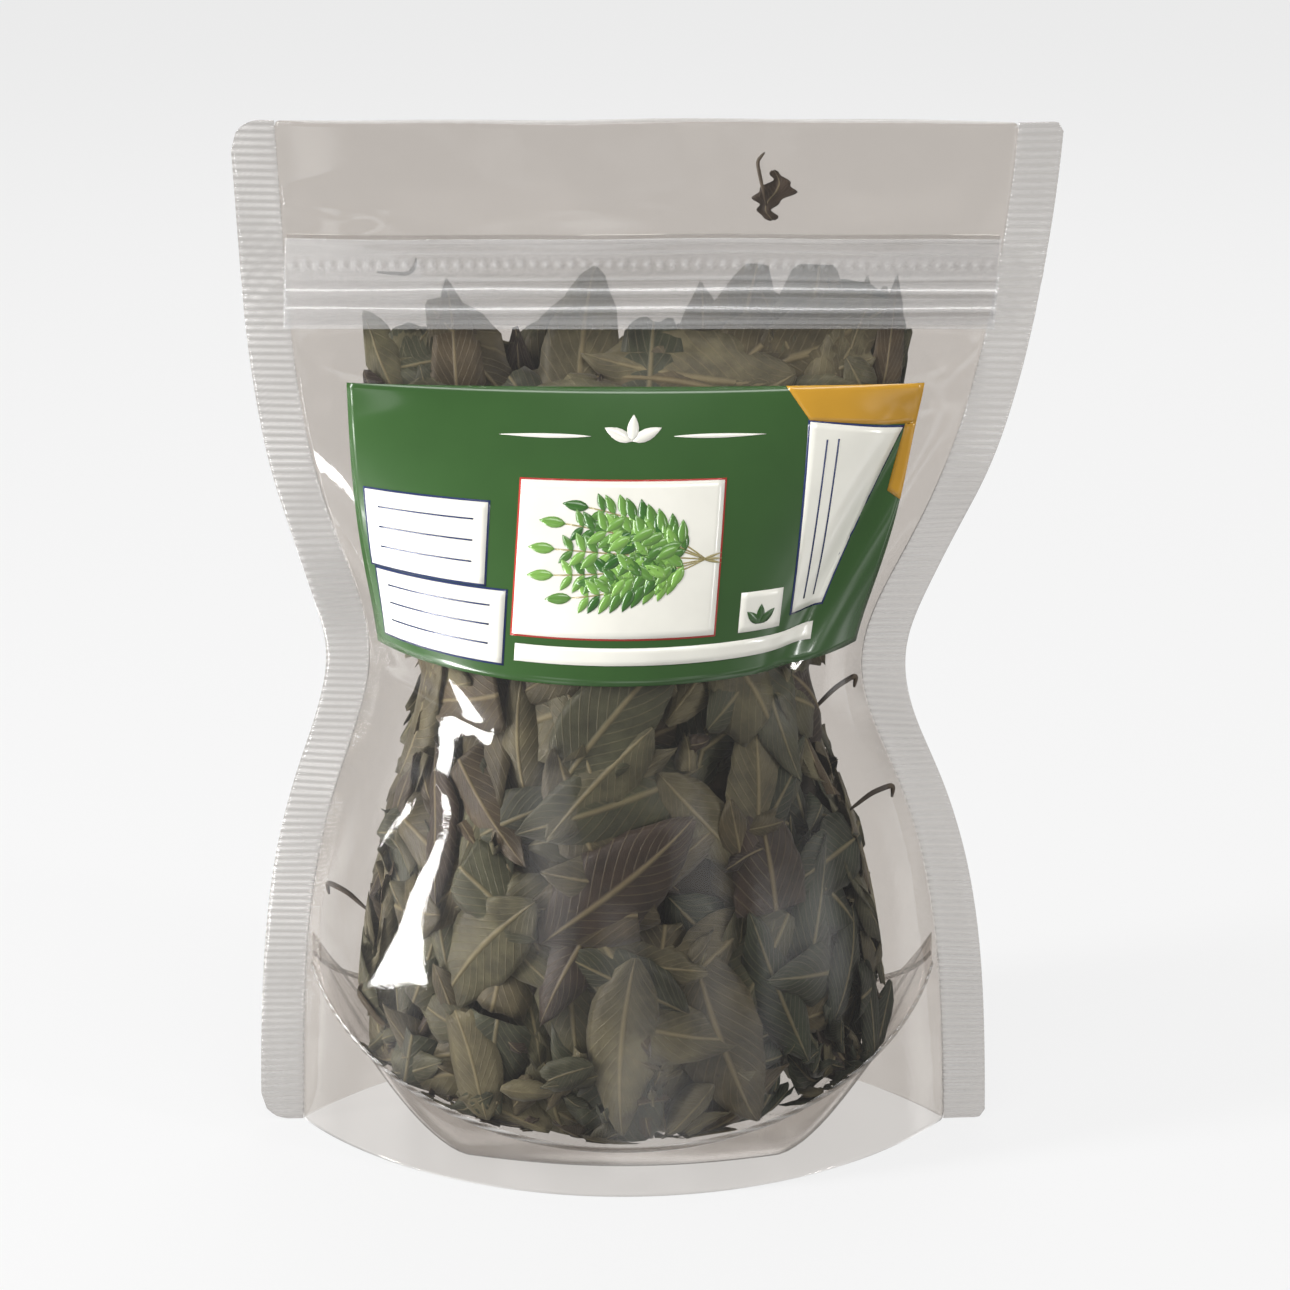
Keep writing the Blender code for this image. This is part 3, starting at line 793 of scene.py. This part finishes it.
def scattered(count, low, high, depths, rng, size=(0.030, 0.046), broken=0.35, rag=0.5, upright=0.0):
    """Places for loose leaves: even over the film between two heights, each at its own depth."""
    height = rng.uniform(low, high, count)
    reach = half_arc(height) * 0.97
    spread = rng.uniform(-1, 1, count)
    angle = rng.uniform(0, 2 * math.pi, count)
    angle = np.where(rng.random(count) < upright, math.pi / 2 + rng.normal(0, 0.45, count), angle)
    length = rng.uniform(*size, count)
    cut = rng.random(count) < broken
    start = np.where(cut & (rng.random(count) < 0.5), rng.uniform(0.15, 0.45, count), 0)
    end = np.where(cut & (start == 0), rng.uniform(0.5, 0.85, count), 1)
    return {
        "along": spread * reach, "height": height, "angle": angle, "length": length,
        "width": length * rng.uniform(0.34, 0.46, count), "start": start, "end": end,
        "depth": rng.permutation(np.linspace(*depths, count)), "seed": rng.uniform(0, 6.28, count),
        "rag": rag * rng.uniform(0.3, 1, count), "sweep": rng.uniform(-0.18, 0.18, count),
        "bend": rng.uniform(-0.0022, 0.0030, count), "fold": rng.uniform(-0.0010, 0.0024, count),
        "curl": rng.uniform(0, 0.0030, count), "twist": rng.uniform(-0.0020, 0.0020, count),
        "ripple": rng.uniform(0, 0.0009, count), "tilt_u": rng.normal(0, 0.10, count),
        "tilt_v": rng.normal(0, 0.10, count),
    }


def leaf_tones(places, rng):
    """0 to 1 through the dried colours: browns low, olive middle, dark green to the right."""
    count = len(places["along"])
    tone = rng.choice([0.06, 0.22, 0.36, 0.50, 0.64, 0.80], count,
                      p=[0.10, 0.14, 0.20, 0.20, 0.22, 0.14])
    greener = np.clip((places["along"] - 0.012) / 0.03, 0, 1)
    greener = greener * np.clip((0.10 - places["height"]) / 0.02, 0, 1)
    turned = rng.random(count) < 0.65 * greener
    return np.clip(np.where(turned, 0.93, tone) + rng.normal(0, 0.025, count), 0, 1)


leaf_finish, tree = new_finish("dried_curry_leaf")
# Shade-dried leaf blade: dull waxy upper side with a soft sheen, pale veins at the midrib.
place = node(tree, "TexCoord")
spot = node(tree, "UVMap", {"uv_map": "leaf"})
axes = node(tree, "SeparateXYZ", None, Vector=spot.outputs["UV"])
tone = node(tree, "Attribute", {"attribute_name": "tone"})
dried = node(tree, "ValToRGB", None, Fac=tone.outputs["Fac"])
ramp = dried.color_ramp
STOPS = ((0.0, "#4a3d37"), (0.14, "#5f4b3a"), (0.28, "#77694a"), (0.42, "#878061"), (0.56, "#9d9774"),
         (0.70, "#717458"), (0.84, "#586049"), (1.0, "#334630"))
ramp.elements[0].color = (*linear(STOPS[0][1]), 1)
ramp.elements[1].color = (*linear(STOPS[-1][1]), 1)
for position, code in STOPS[1:-1]:
    ramp.elements.new(position).color = (*linear(code), 1)
mottle = node(tree, "TexNoise", {"Scale": 170.0, "Detail": 5.0, "Roughness": 0.6},
              Vector=place.outputs["Object"])
blotch = node(tree, "TexNoise", {"Scale": 48.0, "Detail": 2.0}, Vector=place.outputs["Object"])
darker = node(tree, "MapRange", {"From Min": 0.34, "From Max": 0.68, "To Min": 0.34,
                                           "To Max": 0.78}, Value=mottle.outputs["Fac"])
patchy = node(tree, "MapRange", {"From Min": 0.35, "From Max": 0.65, "To Min": 0.52,
                                           "To Max": 0.95}, Value=blotch.outputs["Fac"])
shade = node(tree, "Math", {"operation": "MULTIPLY"}, _0=darker,
             _1=patchy)
off_rib = node(tree, "Math", {"operation": "SUBTRACT", 1: 0.5}, _0=axes.outputs["Y"])
off_rib = node(tree, "Math", {"operation": "ABSOLUTE"}, _0=off_rib)
rib = node(tree, "MapRange", {"From Min": 0.012, "From Max": 0.045, "To Min": 1.0,
                                        "To Max": 0.0}, Value=off_rib)
slant = node(tree, "Math", {"operation": "MULTIPLY_ADD", 1: -0.55}, _0=off_rib,
             _2=axes.outputs["X"])
veins = node(tree, "Math", {"operation": "MULTIPLY", 1: 88.0}, _0=slant)
veins = node(tree, "Math", {"operation": "SINE"}, _0=veins)
veins = node(tree, "MapRange", {"From Min": 0.80, "From Max": 1.0, "To Min": 0.0,
                                          "To Max": 0.30}, Value=veins)
lines = node(tree, "Math", {"operation": "MAXIMUM"}, _0=rib, _1=veins)
shaded = node(tree, "Mix", {"data_type": "RGBA", "blend_type": "MULTIPLY", 0: 1.0},
              _6=dried.outputs["Color"], _7=shade)
veined = node(tree, "Mix", {"data_type": "RGBA", 7: (*linear("#b3a67f"), 1)},
              _6=shaded.outputs[2])
strength = node(tree, "Math", {"operation": "MULTIPLY", 1: 0.42}, _0=lines)
tree.links.new(strength.outputs[0], veined.inputs[0])
raised = node(tree, "Bump", {"Strength": 0.5, "Distance": 0.0005}, Height=lines)
pitted = node(tree, "Bump", {"Strength": 0.55, "Distance": 0.0006},
              Height=mottle.outputs["Fac"], Normal=raised.outputs["Normal"])
shader = node(tree, "BsdfPrincipled", {"Roughness": 0.52, "Sheen Weight": 0.15},
              Base_Color=veined.outputs[2], Normal=pitted.outputs["Normal"])
node(tree, "OutputMaterial", None, Surface=shader)


def add_leaves(name, places, rows, columns, side, rng, nodes=(), tones=None,
               lay=None):
    """A piece made of the leaves at these places, with a tone for each."""
    points, uvs = leaf_blades(places, rows, columns, side, lay)
    tones = leaf_tones(places, rng) if tones is None else tones
    mesh = joined_grids(name, list(points), list(uvs), tones)
    leaves = add_piece(name, mesh, leaf_finish, nodes)
    thicken(leaves, LEAF_SKIN)
    return leaves


def merged(*groups):
    """Several groups of places as one."""
    return {key: np.concatenate([group[key] for group in groups]) for key in groups[0]}


def node_points(name):
    """A CAD node's points as an array."""
    vertices = frame["nodes"][name].data.vertices
    found = np.empty(len(vertices) * 3)
    vertices.foreach_get("co", found)
    return found.reshape(-1, 3)


def lies_on(name):
    """Where a CAD leaf lies on the film: along, height and angle, from its own long direction."""
    points = node_points(name)
    centre = (points.min(axis=0) + points.max(axis=0)) / 2
    _, _, ways = np.linalg.svd(points - points.mean(axis=0), full_matrices=False)
    radius = arc_radius(centre[2])
    turn = math.asin(np.clip(centre[0] / radius, -1, 1))
    flat_way = ways[0][0] / max(math.cos(turn), 0.3)
    return radius * turn, centre[2], math.atan2(ways[0][2], flat_way)


slots = {part["node"]: part["material_slot"] for part in frame["record"]["subparts"]}
SLOT_TONES = {"leaf_olive": (0.48, 0.80), "leaf_tan": (0.40, 0.60), "leaf_brown": (0.05, 0.30)}
for cad_name in sorted(frame["nodes"]):
    if not cad_name.startswith("leaf_") or cad_name == "leaf_heap":
        continue
    side = BACK if "back" in cad_name else FRONT
    along, height, angle = lies_on(cad_name)
    single = scattered(1, height, height, (0.0014, 0.0014), leaf_rng, (0.039, 0.046), 0.2, 0.3)
    turned = angle + math.pi * (leaf_rng.random() < 0.5)
    single.update(along=np.array([along]), angle=np.array([turned]))
    single["depth"] += 0.0014 if "inner" in cad_name else 0
    shades = [leaf_rng.uniform(*SLOT_TONES[slots[cad_name]])]
    add_leaves("dried_" + cad_name, single, 25, 13, side, leaf_rng, [cad_name], shades)

for side, name in ((FRONT, "front"), (BACK, "back")):
    outer = merged(scattered(96, 0.016, 0.168, (0.0018, 0.0044), leaf_rng, broken=0.5),
                   scattered(34, 0.150, 0.181, (0.0012, 0.0040), leaf_rng, upright=0.4))
    add_leaves(f"loose_leaves_{name}", outer, 13, 7, side, leaf_rng)
    inner = scattered(190, 0.012, 0.170, (0.0044, 0.0110), leaf_rng, broken=0.3)
    add_leaves(f"packed_leaves_{name}", inner, 9, 5, side, leaf_rng)
    chips = merged(scattered(110, 0.006, 0.036, (0.0012, 0.0050), leaf_rng, (0.006, 0.018), 0.8, 1.0),
                   scattered(50, 0.030, 0.165, (0.0012, 0.0060), leaf_rng, (0.006, 0.018), 0.8, 1.0))
    add_leaves(f"leaf_chips_{name}", chips, 6, 5, side, leaf_rng)

EDGE_LEAVES = 60
for end, name in ((-1, "left"), (1, "right")):
    edge = scattered(EDGE_LEAVES, 0.030, 0.160, (0.0, 0.0042), leaf_rng, (0.026, 0.040), 0.4)
    edge["along"] = leaf_rng.uniform(-0.75, 0.75, EDGE_LEAVES) * half_depth(edge["height"])
    add_leaves(f"edge_leaves_{name}", edge, 9, 5, FRONT, leaf_rng,
               lay=lambda across, z, depth, end=end: laid_at_edge(end, across, z, depth))

# ---------------------------------------------------------------------------------------------
# The middle of the heap: leaves packed too deep to make out, dark between the outer ones. It is
# one lumpy body a centimetre inside the film, in painted shade: browns far darker than the leaves'
# own colours stand for the shadow deep in the heap.
# ---------------------------------------------------------------------------------------------
heap_low, heap_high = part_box("leaf_heap")
CORE_DEPTH = 0.0095


def heap_core(rows, columns):
    """Rings up the pouch: round the lens section, in by the core's depth, with lumps as a product
    of sines, closed to a ridge at the top and a keel at the bottom."""
    turn = np.linspace(0, 2 * math.pi, columns, endpoint=False)[None, :]
    t = np.linspace(0, 1, rows)[:, None]
    z = heap_low.z + (heap_high.z - heap_low.z) * t + 0 * turn
    wide = core_width(z)
    deep = np.maximum(half_depth(z) - CORE_DEPTH, 0.0008)
    deep = deep * (0.25 + 0.75 * np.clip(z / 0.030, 0, 1) ** 0.6)
    lump = 1 + 0.05 * np.sin(5 * turn + z / 0.009) * np.sin(z / 0.006 + 3 * turn)
    closing = np.sqrt(np.clip(1 - (2 * t - 1) ** 14, 0.0001, 1))
    x = wide * np.cos(turn) * lump * closing
    y = deep * np.sin(turn) * lump * closing
    return np.stack([x, y, z], axis=-1)


heap_finish, tree = new_finish("painted_shade_leaf_heap")
place = node(tree, "TexCoord")
flakes = node(tree, "TexVoronoi", {"Scale": 120.0}, Vector=place.outputs["Object"])
# Painted shade: near-black browns, darker than any leaf's own colour, for the shadow among the packed
# leaves.
painted_shade_colours = node(tree, "ValToRGB", None, Fac=flakes.outputs["Color"])
painted_shade_colours.color_ramp.elements[0].color = (*linear("#1d1814"), 1)
painted_shade_colours.color_ramp.elements[1].color = (*linear("#4a4030"), 1)
relief = node(tree, "Bump", {"Strength": 0.9, "Distance": 0.003},
              Height=flakes.outputs["Distance"])
shader = node(tree, "BsdfPrincipled", {"Roughness": 0.85}, Base_Color=painted_shade_colours.outputs["Color"],
              Normal=relief.outputs["Normal"])
node(tree, "OutputMaterial", None, Surface=shader)
core = grid_mesh("packed_leaf_core", heap_core(70, 90), loop=True)
caps = bmesh.new()
caps.from_mesh(core)
bmesh.ops.holes_fill(caps, edges=[edge for edge in caps.edges if edge.is_boundary], sides=0)
bmesh.ops.triangulate(caps, faces=[face for face in caps.faces if len(face.verts) > 4])
caps.to_mesh(core)
caps.free()
add_piece("packed_leaf_core", core, heap_finish, ["leaf_heap"])

# ---------------------------------------------------------------------------------------------
# Stray bits: a torn scrap of leaf with its curled stalk caught above the zip, a hooked stalk in
# the zip, and short woody leaf stalks that poke out beside the seals.
# ---------------------------------------------------------------------------------------------
scrap_low, scrap_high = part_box("header_fragment")
scrap_middle = (scrap_low + scrap_high) / 2


def torn_scrap():
    """A ragged strip, folded along its length: its half width is two sines of the length."""
    t = np.linspace(-1, 1, 29)[:, None]
    b = np.linspace(-1, 1, 9)[None, :]
    half = 0.0028 + 0.0011 * np.sin(t * 5 + 1) + 0.0006 * np.sin(t * 13) * np.sign(b)
    half = half * np.sqrt(np.clip(1.02 - t**2, 0, 1))
    x = scrap_middle.x + b * half + 0.0013 * np.sin(t * 3.2)
    z = scrap_middle.z - 0.0030 + t * 0.0052 + 0 * b
    y = film_wave(x, z) + 0.0004 * np.sin(b * 3) * np.cos(t * 6)
    uv = np.stack(np.broadcast_arrays((t + 1) / 2, (b + 1) / 2), axis=-1)
    return np.stack([x, y, z], axis=-1), uv


scrap, scrap_uv = torn_scrap()
scrap_piece = add_piece("torn_leaf_scrap", joined_grids("torn_leaf_scrap", [scrap], [scrap_uv], [0.12]),
                        leaf_finish, ["header_fragment"])
thicken(scrap_piece, LEAF_SKIN)


def twig(path, radius, sides=8):
    """A tapering tube round a path, each ring square to it, with its ends drawn to a point."""
    path = np.asarray(path, float)
    t = np.linspace(0, 1, 25)
    knots = np.linspace(0, 1, len(path))
    line = np.stack([np.interp(t, knots, path[:, k]) for k in range(3)], axis=-1)
    for _ in range(6):
        line[1:-1] = (line[:-2] + line[2:] + 2 * line[1:-1]) / 4
    way = np.gradient(line, axis=0)
    way /= np.linalg.norm(way, axis=1, keepdims=True)
    one = np.cross(way, (0.3, 1.0, 0.2))
    one /= np.linalg.norm(one, axis=1, keepdims=True)
    two = np.cross(way, one)
    turn = np.linspace(0, 2 * math.pi, sides, endpoint=False)[None, :, None]
    taper = radius * (0.15 + 0.85 * np.sin(math.pi * np.clip(t, 0.02, 0.98)) ** 0.4)[:, None, None]
    return line[:, None] + taper * (np.cos(turn) * one[:, None] + np.sin(turn) * two[:, None])


stalk_finish, tree = new_finish("dry_leaf_stalk")
place = node(tree, "TexCoord")
grain = node(tree, "TexNoise", {"Scale": 700.0, "Detail": 3.0}, Vector=place.outputs["Object"])
bark = node(tree, "ValToRGB", None, Fac=grain.outputs["Fac"])
bark.color_ramp.elements[0].color = (*linear("#2e2620"), 1)
bark.color_ramp.elements[1].color = (*linear("#5d5040"), 1)
shader = node(tree, "BsdfPrincipled", {"Roughness": 0.7}, Base_Color=bark.outputs["Color"])
node(tree, "OutputMaterial", None, Surface=shader)


def add_twig(name, path, radius, nodes=()):
    """A stalk along a path, its open ends filled."""
    mesh = grid_mesh(name, twig(path, radius), loop=True)
    ends = bmesh.new()
    ends.from_mesh(mesh)
    bmesh.ops.holes_fill(ends, edges=[edge for edge in ends.edges if edge.is_boundary], sides=0)
    bmesh.ops.recalc_face_normals(ends, faces=ends.faces)
    ends.to_mesh(mesh)
    ends.free()
    add_piece(name, mesh, stalk_finish, nodes)


for name in ("stalk_right_upper", "stalk_right_lower", "stalk_left"):
    low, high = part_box(name)
    end = 1 if high.x > 0 else -1
    outer = np.array([high.x if end > 0 else low.x, (low.y + high.y) / 2, high.z - 0.001])
    inner = np.array([(low.x + high.x) / 2 - end * 0.0075, outer[1] - 0.002, low.z + 0.004])
    knob = outer + np.array([-end * 0.0004, 0, -0.003])
    add_twig(f"woody_{name}", [inner, (inner + outer) / 2 + (0, 0, 0.001), outer, knob], 0.0006, [name])
add_twig("scrap_stalk", [(scrap_middle.x - 0.002, 0, scrap_middle.z + 0.006),
                         (scrap_middle.x - 0.0035, 0, scrap_middle.z + 0.0042),
                         (scrap_middle.x - 0.0025, 0, scrap_middle.z),
                         (scrap_middle.x - 0.0012, 0, scrap_middle.z - 0.005)], 0.0004)
add_twig("hooked_stalk", [(-0.0545, 0.0004, 0.1945), (-0.0480, 0.0004, 0.1940),
                          (-0.0467, 0.0004, 0.1955), (-0.0464, 0.0004, 0.1975)], 0.00045)

# ---------------------------------------------------------------------------------------------
# The studio: a pale floor that glows a little and curves up into a wall, soft boxes, and a camera
# that looks down a little on the front of the pouch.
# ---------------------------------------------------------------------------------------------
CAMERA_DISTANCE, CAMERA_ELEVATION, CAMERA_LENS = 0.75, math.radians(20), 98
FLAT_RADIUS, CURVE_RADIUS, WALL_TOP = 4, 2, 7.0
WORLD_LIGHT, CARD_LIGHT, FLOOR_GLOW = 0.28, 1.5, 0.88
AIM = Vector((0.0032, 0, 0.1130))


def studio_light(name, place, size, power):
    """A rectangular soft box at a place, turned to face the pouch."""
    lamp = bpy.data.lights.new(name, "AREA")
    lamp.shape = "RECTANGLE"
    lamp.size, lamp.size_y = size
    lamp.energy = power
    holder = bpy.data.objects.new(name, lamp)
    bpy.context.scene.collection.objects.link(holder)
    holder.location = place
    holder.rotation_euler = (Vector((0, 0, 0.11)) - Vector(place)).to_track_quat("-Z", "Y").to_euler()
    return holder


floor_finish, tree = new_finish("matte_pale_floor")
paint = node(tree, "BsdfPrincipled", {"Base Color": (*linear("#5c5c5c"), 1), "Roughness": 0.9,
                                                "Specular IOR Level": 0.0,
                                                "Emission Color": (*linear("#f3f3f3"), 1),
                                                "Emission Strength": FLOOR_GLOW})
node(tree, "OutputMaterial", None, Surface=paint)
# A disc of 4 m that curves up through a quarter circle into a wall, so no horizon shows.
sweep = np.linspace(0, math.pi / 2, 17)
run = np.concatenate([[0.01, 1.0, 2.5], FLAT_RADIUS + CURVE_RADIUS * np.sin(sweep),
                      [FLAT_RADIUS + CURVE_RADIUS]])[:, None]
rise = np.concatenate([[0, 0, 0], CURVE_RADIUS * (1 - np.cos(sweep)), [WALL_TOP]])[:, None] - 0.0002
turn = np.linspace(0, 2 * math.pi, 97)[None, :]
floor_grid = np.stack(np.broadcast_arrays(run * np.cos(turn), run * np.sin(turn), rise), axis=-1)
floor = bpy.data.objects.new("floor", grid_mesh("floor", floor_grid))
bpy.context.scene.collection.objects.link(floor)
floor.data.materials.append(floor_finish)
# Its mirror image and its bounce would veil the leaves behind the film, so rays pass through it.
floor.visible_diffuse = floor.visible_glossy = False

for softbox in (("key_softbox", (-0.77, -0.27, 0.42), (0.11, 0.82), 9.5),
                ("fill_softbox", (0.76, -0.42, 0.36), (0.06, 0.50), 2.6),
                ("top_softbox", (0.0, -0.40, 1.25), (0.90, 0.40), 7.0),
                ("back_softbox", (0.10, 0.80, 0.80), (0.80, 0.40), 4.0)):
    studio_light(*softbox)
# A glowing strip laid on the floor beside the pouch carries the key light's mirror image on down.
low_strip = studio_light("low_strip", (-0.30, -0.10, 0.004), (0.045, 0.34), 1.4)
low_strip.rotation_euler = (math.pi, 0, math.radians(-71))
low_strip.visible_camera = False
world = bpy.data.worlds.new("studio")
bpy.context.scene.world = world
world.use_nodes = True
# Even light above the horizon, and broad brighter cards below it for the film's gloss to mirror.
# They light the leaves a little too, because the floor lets diffuse and glossy rays through.
sky = world.node_tree
backing = sky.nodes["Background"]
backing.inputs["Color"].default_value = (*linear("#ffffff"), 1)
aim = node(sky, "TexCoord")
heights = node(sky, "SeparateXYZ", None, Vector=aim.outputs["Generated"])
below = node(sky, "MapRange", {"From Min": -0.04, "From Max": -0.12, "To Min": 0.0,
                                         "To Max": 1.0}, Value=heights.outputs["Z"])
cards = node(sky, "TexNoise", {"Scale": 2.6, "Detail": 1.0}, Vector=aim.outputs["Generated"])
cards = node(sky, "MapRange", {"From Min": 0.48, "From Max": 0.68, "To Min": 0.0,
                                         "To Max": CARD_LIGHT}, Value=cards.outputs["Fac"])
power = node(sky, "Math", {"operation": "MULTIPLY_ADD", 2: WORLD_LIGHT}, _0=cards,
             _1=below)
sky.links.new(power.outputs[0], backing.inputs["Strength"])

camera = bpy.data.objects.new("camera", bpy.data.cameras.new("camera"))
bpy.context.scene.collection.objects.link(camera)
camera.data.lens = CAMERA_LENS
camera.location = AIM + CAMERA_DISTANCE * Vector((0, -math.cos(CAMERA_ELEVATION),
                                                  math.sin(CAMERA_ELEVATION)))
camera.rotation_euler = (AIM - camera.location).to_track_quat("-Z", "Y").to_euler()
bpy.context.scene.camera = camera
bpy.context.scene.view_settings.view_transform = "Standard"
bpy.context.scene.cycles.transparent_max_bounces = 32
